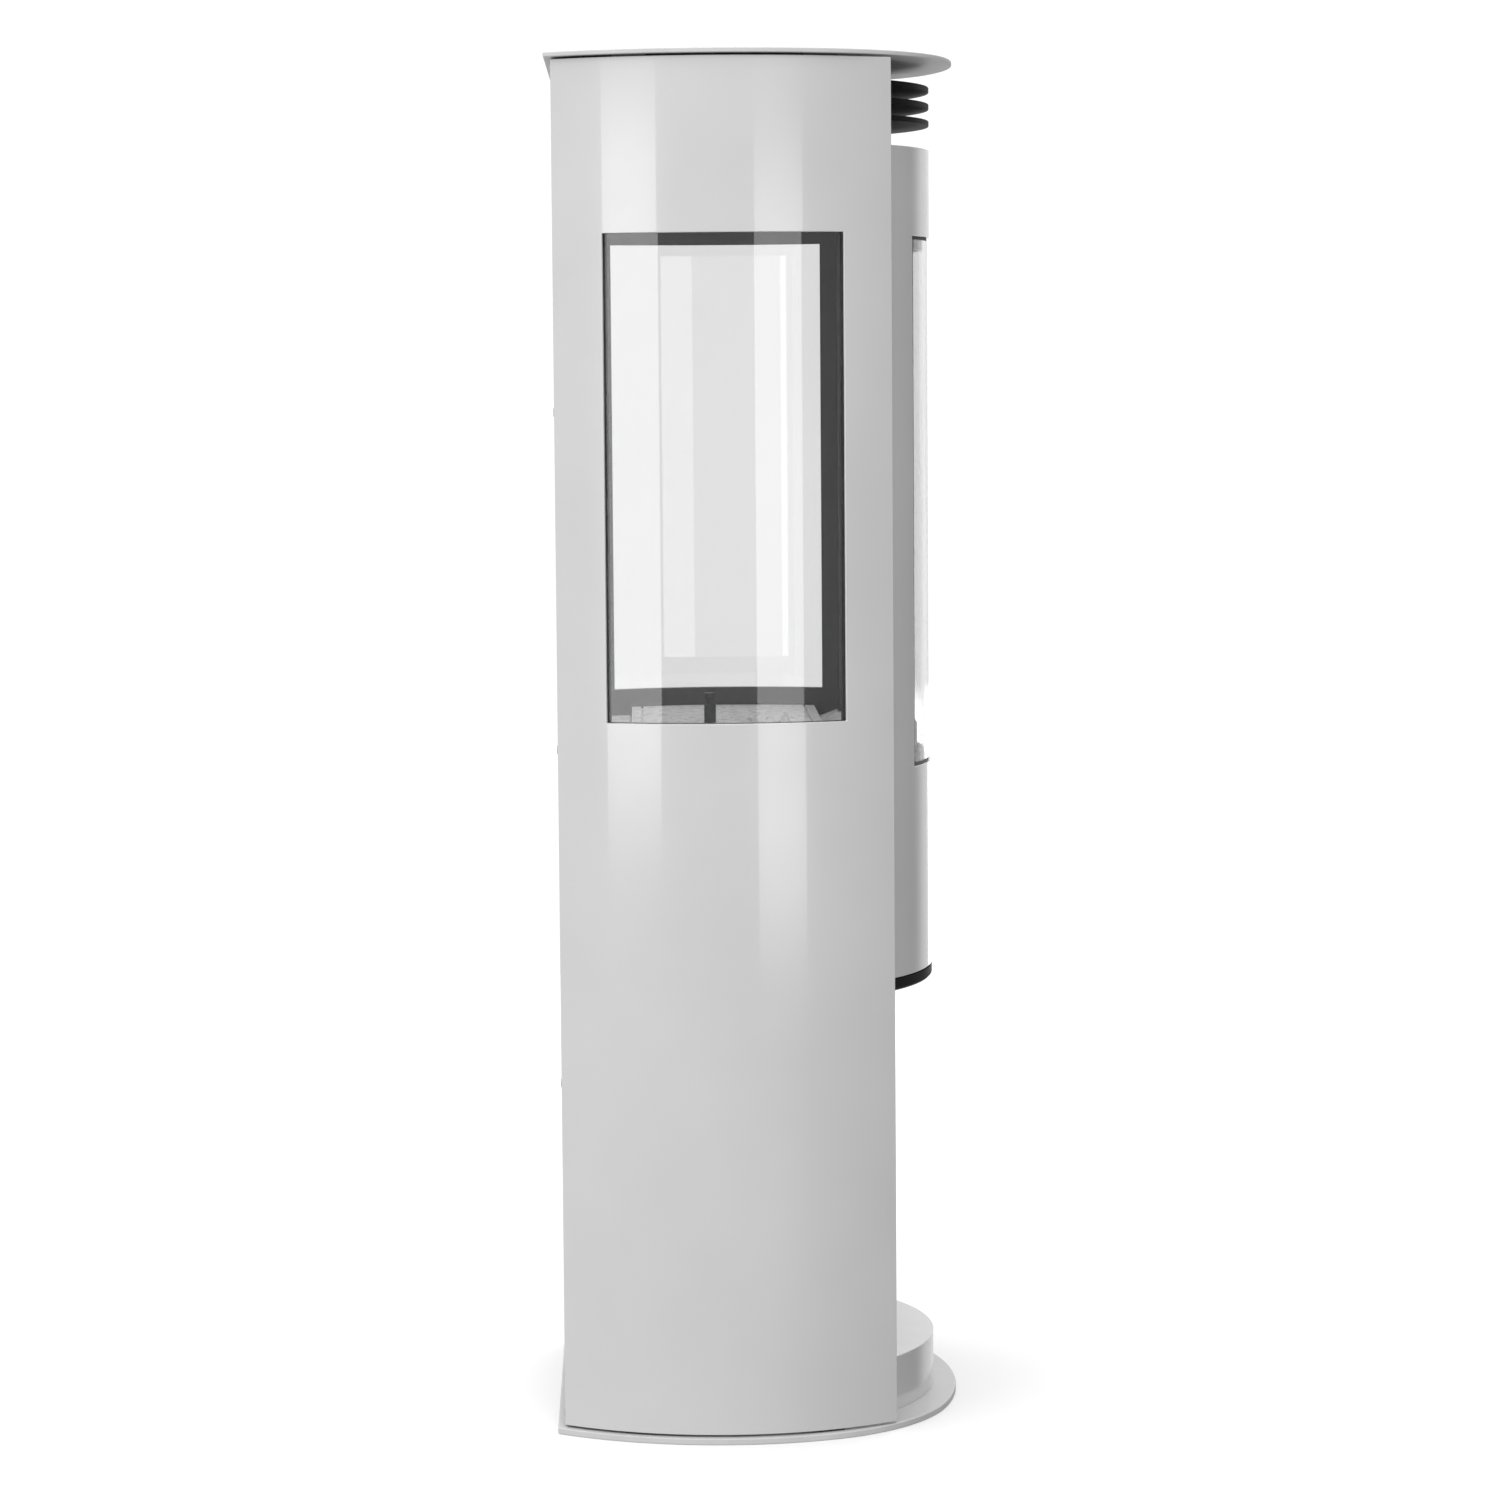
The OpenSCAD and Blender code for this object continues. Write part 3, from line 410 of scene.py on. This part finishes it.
def trim_back(bm, y):
    """Cuts off what lies behind y and closes the cut."""
    bmesh.ops.remove_doubles(bm, verts=bm.verts, dist=SAME_POINT)
    everything = bm.verts[:] + bm.edges[:] + bm.faces[:]
    bmesh.ops.bisect_plane(bm, geom=everything, plane_co=(0, y, 0),
                           plane_no=(0, 1, 0), clear_outer=True)
    bmesh.ops.holes_fill(bm, edges=[e for e in bm.edges if e.is_boundary], sides=0)


def own_shape(node):
    """A merged copy of a CAD node's shape, to work on."""
    bm = bmesh.new()
    bm.from_mesh(frame["nodes"][node].data)
    bmesh.ops.remove_doubles(bm, verts=bm.verts, dist=SAME_POINT)
    bmesh.ops.dissolve_limit(bm, angle_limit=FLAT, verts=bm.verts, edges=bm.edges)
    return bm


def dressed(node, bevel):
    """The CAD node's own shape with its edges rounded and its curves shaded smooth."""
    return add_piece(node + "_dressed", own_shape(node), node, bevel)


def low_head_screws():
    """The back panel's screws, with their heads pressed low against the sheet."""
    node = "back_panel_screws"
    bm = own_shape(node)
    sheet_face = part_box("back_panel")[1].y
    press = Matrix.Translation((0, sheet_face, 0)) @ Matrix.Diagonal((1, HEAD_PRESS, 1, 1))
    press = press @ Matrix.Translation((0, -sheet_face, 0))
    bmesh.ops.transform(bm, matrix=press, verts=[v for v in bm.verts if v.co.y > sheet_face])
    return add_piece(node + "_low_heads", bm, node, HEAD_EDGE)


# --- Sub-parts ---

def side_window(side):
    """One side's panel, glass and gasket; the glass laps the window all round."""
    low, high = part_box("side_glass_" + side)
    window = (low.y + SIDE_GLASS_LAP, high.y - SIDE_GLASS_LAP,
              low.z + SIDE_GLASS_LAP, high.z - SIDE_GLASS_LAP)
    glass_r = PANEL_R - PANEL_T - SIDE_GLASS_GAP
    side_sheet("side_panel_" + side, PANEL_R, PANEL_T, window, PANEL_EDGE)
    side_sheet("side_glass_" + side, glass_r, SIDE_GLASS_T)
    side_sheet("side_gasket_" + side, glass_r - SIDE_GLASS_T, SIDE_GASKET_T, window, GASKET_EDGE)


def door_front():
    """The door's sheet, its glass and the gasket round the glass."""
    low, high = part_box("door_shell")
    pane_low, pane_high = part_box("door_glass")
    hole_low, hole_high = pane_low.z - GASKET_W, pane_high.z + GASKET_W
    glass_r = DRUM_R - GLASS_RECESS
    glass_half = WINDOW_HALF - GASKET_W / DRUM_R
    front_sheet("door_shell", DRUM_R, DOOR_T, DOOR_HALF, [low.z, hole_low, hole_high, high.z],
                WINDOW_HALF, DOOR_EDGE)
    front_sheet("door_glass", glass_r, GLASS_T, glass_half, [pane_low.z, pane_high.z])
    front_sheet("door_glass_gasket", glass_r - GASKET_SINK, GLASS_T - GASKET_SINK, WINDOW_HALF,
                [hole_low, pane_low.z, pane_high.z, hole_high], glass_half, GASKET_EDGE)


def cooling_fin(level):
    """A round fin with a soft rim, cut off straight at its back."""
    node = "cooling_fin_" + level
    low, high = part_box(node)
    turned(node, [(HUB_R, low.z), (DRUM_R, low.z), (DRUM_R, high.z), (HUB_R, high.z)],
           cut_back=high.y, bevel=FIN_EDGE, segments=4)


def fin_hub():
    """The tube that carries the fins."""
    low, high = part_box("fin_hub")
    turned("fin_hub", [(HUB_IN_R, low.z), (HUB_R, low.z), (HUB_R, high.z), (HUB_IN_R, high.z)])


def base_ring():
    """The black ring under the round body, chamfered at its foot and open at the back."""
    low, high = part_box("base_ring")
    turned("base_ring", [(RING_IN_R, low.z), (RING_FOOT_R, low.z), (DRUM_R, low.z + RING_CHAMFER),
                         (DRUM_R, high.z), (RING_IN_R, high.z)],
           half_turn=RING_HALF_TURN, bevel=RING_EDGE)


def plinth_lid():
    """The lid that the logs stand on, cut off straight at its back."""
    low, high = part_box("plinth_lid")
    turned("plinth_lid", [(0, low.z), (DRUM_R, low.z), (DRUM_R, high.z), (0, high.z)],
           cut_back=high.y, bevel=LID_EDGE, segments=3)


# Parts that keep the CAD shape, with how far their edges are rounded, in millimetres
edges_of = {
    "base_plate": 1.2, "top_plate": 1.0, "plinth_drum": 0.6, "back_panel": 0.4,
    "flue_collar": 0.5, "floor_brick_centre": 1.5,
    "floor_brick_front": 2.0, "floor_brick_rear": 2.0, "firebrick_back_left": 1.5,
    "firebrick_back_right": 1.5, "baffle_plate": 1.5, "handle_grip": 1.0, "air_knob": 0.5,
    "riddling_pin": 0.6, "door_frame": 0.8, "log_guard": 0.8, "ash_pan": 0.4,
    "hinge_bracket_lower": 0.4, "hinge_bracket_upper": 0.4, "latch_keeper": 0.3,
    "latch_hook": 0.3, "latch_rod": 0.4, "hinge_pins": 0.4, "hinge_arms": 0.4, "latch_arms": 0.4,
    "grate_disc": 0.5, "firebox_shell": 0.3, "store_posts": 0.4,
}


def finish_cad_parts():
    """Gives every CAD node its procedural finish."""
    for node, part in frame["nodes"].items():
        part.data.materials.clear()
        part.data.materials.append(finish_for(node))


# --- Studio ---

BACKDROP_LEVEL = 1.06
STUDIO_LEVEL = 0.9
FRONT_LEVEL = 0.15
BELOW_LEVEL = 0.78
MIRRORED_LEVEL = 0.35
OVERHEAD_LEVEL = 1.4
OVERHEAD_SPREAD = math.radians(100)
FLOOR_HALF = 2.6
DIM_AXIS = (-0.174, -0.985, 0)

LENS = 96.0
SENSOR_W = 36
FRAME_SHIFT = -0.05
CAMERA_PLACE = (-3.7562, 0.0804, 0.9758)
YAW, PITCH, ROLL = math.radians(1.591), math.radians(4.498), math.radians(-0.43)


def softbox(name, place, facing, width, height, watts, soft_ends=0.2):
    """A large lamp that faces a height on the axis, even across and fading at its top and bottom."""
    lamp = bpy.data.lights.new(name, "AREA")
    lamp.shape = "RECTANGLE"
    lamp.size = width
    lamp.size_y = height
    lamp.energy = watts
    lamp.use_nodes = True
    tree = lamp.node_tree
    surface = tree.nodes.new("ShaderNodeNewGeometry")
    split = tree.nodes.new("ShaderNodeSeparateXYZ")
    tree.links.new(surface.outputs["Parametric"], split.inputs[0])
    fold = tree.nodes.new("ShaderNodeMath")
    fold.operation = "PINGPONG"
    fold.inputs[1].default_value = 0.5
    tree.links.new(split.outputs["Y"], fold.inputs[0])
    fade = tree.nodes.new("ShaderNodeMapRange")
    fade.interpolation_type = "SMOOTHSTEP"
    fade.inputs["From Max"].default_value = soft_ends
    tree.links.new(fold.outputs["Value"], fade.inputs["Value"])
    tree.links.new(fade.outputs["Result"], tree.nodes["Emission"].inputs["Strength"])
    box = bpy.data.objects.new(name, lamp)
    box.location = place
    towards = Vector((0, 0, facing)) - Vector(place)
    box.rotation_euler = towards.to_track_quat("-Z", "Y").to_euler()
    box.visible_camera = False
    bpy.context.scene.collection.objects.link(box)


def hang_softboxes():
    """Rear and front bands on the left panel, a low light behind the door's edge, and one high up."""
    softbox("softbox_rear", place=(-1.92, 1.25, 0.84), facing=0.84, width=0.8, height=1.24, watts=8.0)
    softbox("softbox_front", place=(-2.14, -0.76, 0.72), facing=0.72, width=0.68, height=1.34, watts=5.9)
    softbox("softbox_side", place=(2.12, -0.75, 0.22), facing=0.22, width=0.8, height=0.56, watts=2.4,
            soft_ends=0.1)
    softbox("softbox_high", place=(-2.4, -0.5, 3.0), facing=0.7, width=1.5, height=1.5, watts=26)


def lay_floor():
    """A plain pale floor, far larger than the stove."""
    bm = bmesh.new()
    bmesh.ops.create_grid(bm, x_segments=1, y_segments=1, size=FLOOR_HALF)
    mesh = bpy.data.meshes.new("floor")
    bm.to_mesh(mesh)
    bm.free()
    floor = bpy.data.objects.new("floor", mesh)
    bpy.context.scene.collection.objects.link(floor)
    material, tree, principled = shader("floor_paint", Roughness=0.6, Specular_IOR_Level=0.1)
    tree.links.new(ramp(tree, noise(tree, scale=2), [(0.3, grey(0.93)), (0.7, grey(0.95))]),
                   principled.inputs["Base Color"])
    mesh.materials.append(material)
    floor.visible_glossy = False
    floor.visible_diffuse = False


def along_axis(tree, axis, start, end, low, high):
    """A light level that changes from low to high as the direction turns towards an axis."""
    direction = tree.nodes.new("ShaderNodeTexCoord").outputs["Generated"]
    along = tree.nodes.new("ShaderNodeVectorMath")
    along.operation = "DOT_PRODUCT"
    along.inputs[1].default_value = axis
    tree.links.new(direction, along.inputs[0])
    change = tree.nodes.new("ShaderNodeMapRange")
    change.interpolation_type = "SMOOTHSTEP"
    for socket, value in zip(("From Min", "From Max", "To Min", "To Max"), (start, end, low, high)):
        change.inputs[socket].default_value = value
    tree.links.new(along.outputs["Value"], change.inputs["Value"])
    return change.outputs["Result"]


def times(tree, first, second):
    """Two light levels multiplied."""
    node = tree.nodes.new("ShaderNodeMath")
    node.operation = "MULTIPLY"
    tree.links.new(first, node.inputs[0])
    tree.links.new(second, node.inputs[1])
    return node.outputs["Value"]


def chosen(tree, factor, plain, other):
    """The plain level where factor is 0, or the other where it is 1."""
    node = tree.nodes.new("ShaderNodeMix")
    tree.links.new(factor, node.inputs["Factor"])
    for socket, value in (("A", plain), ("B", other)):
        if isinstance(value, float):
            node.inputs[socket].default_value = value
        else:
            tree.links.new(value, node.inputs[socket])
    return node.outputs["Result"]


def set_world():
    """A white backdrop; round the stove a studio that is dim in front and in what the gloss mirrors."""
    world = bpy.data.worlds.new("studio")
    bpy.context.scene.world = world
    world.use_nodes = True
    tree = world.node_tree
    background = tree.nodes["Background"]
    background.inputs["Color"].default_value = (1, 1, 1, 1)
    rays = tree.nodes.new("ShaderNodeLightPath")
    around = times(tree, along_axis(tree, DIM_AXIS, 0.42, 0.7, STUDIO_LEVEL, FRONT_LEVEL),
                   along_axis(tree, (0, 0, 1), -0.5, 0.1, BELOW_LEVEL, 1.0))
    mirrored = times(tree, around, along_axis(tree, (-1, 0, 0), -0.2, 0.5, 1.0, MIRRORED_LEVEL))
    lighting = chosen(tree, rays.outputs["Is Glossy Ray"], around, mirrored)
    through = chosen(tree, rays.outputs["Is Transmission Ray"], lighting, BACKDROP_LEVEL)
    seen = chosen(tree, rays.outputs["Is Camera Ray"], through, BACKDROP_LEVEL)
    tree.links.new(seen, background.inputs["Strength"])


def hang_overhead_light():
    """Soft light from straight above, the same all over the floor."""
    lamp = bpy.data.lights.new("overhead", "SUN")
    lamp.energy = OVERHEAD_LEVEL
    lamp.angle = OVERHEAD_SPREAD
    light = bpy.data.objects.new("overhead", lamp)
    bpy.context.scene.collection.objects.link(light)


def place_camera():
    """A long lens level with the windows, square to the left side panel and a little behind it."""
    data = bpy.data.cameras.new("camera")
    data.lens = LENS
    data.sensor_width = SENSOR_W
    data.shift_y = FRAME_SHIFT
    data.clip_end = 100
    camera = bpy.data.objects.new("camera", data)
    camera.location = CAMERA_PLACE
    ahead = Vector((math.cos(PITCH) * math.cos(YAW), -math.cos(PITCH) * math.sin(YAW), -math.sin(PITCH)))
    turn = ahead.to_track_quat("-Z", "Y").to_matrix() @ Matrix.Rotation(ROLL, 3, "Z")
    camera.rotation_euler = turn.to_euler()
    bpy.context.scene.collection.objects.link(camera)
    bpy.context.scene.camera = camera


# --- The stove ---

for side in ("left", "right"):
    side_window(side)
door_front()
for level in ("lower", "middle", "upper"):
    cooling_fin(level)
fin_hub()
base_ring()
plinth_lid()
for node, edge in edges_of.items():
    dressed(node, edge * MM)
low_head_screws()
finish_cad_parts()

# --- Light and camera ---

lay_floor()
set_world()
hang_overhead_light()
hang_softboxes()
place_camera()
bpy.context.scene.view_settings.view_transform = "Standard"
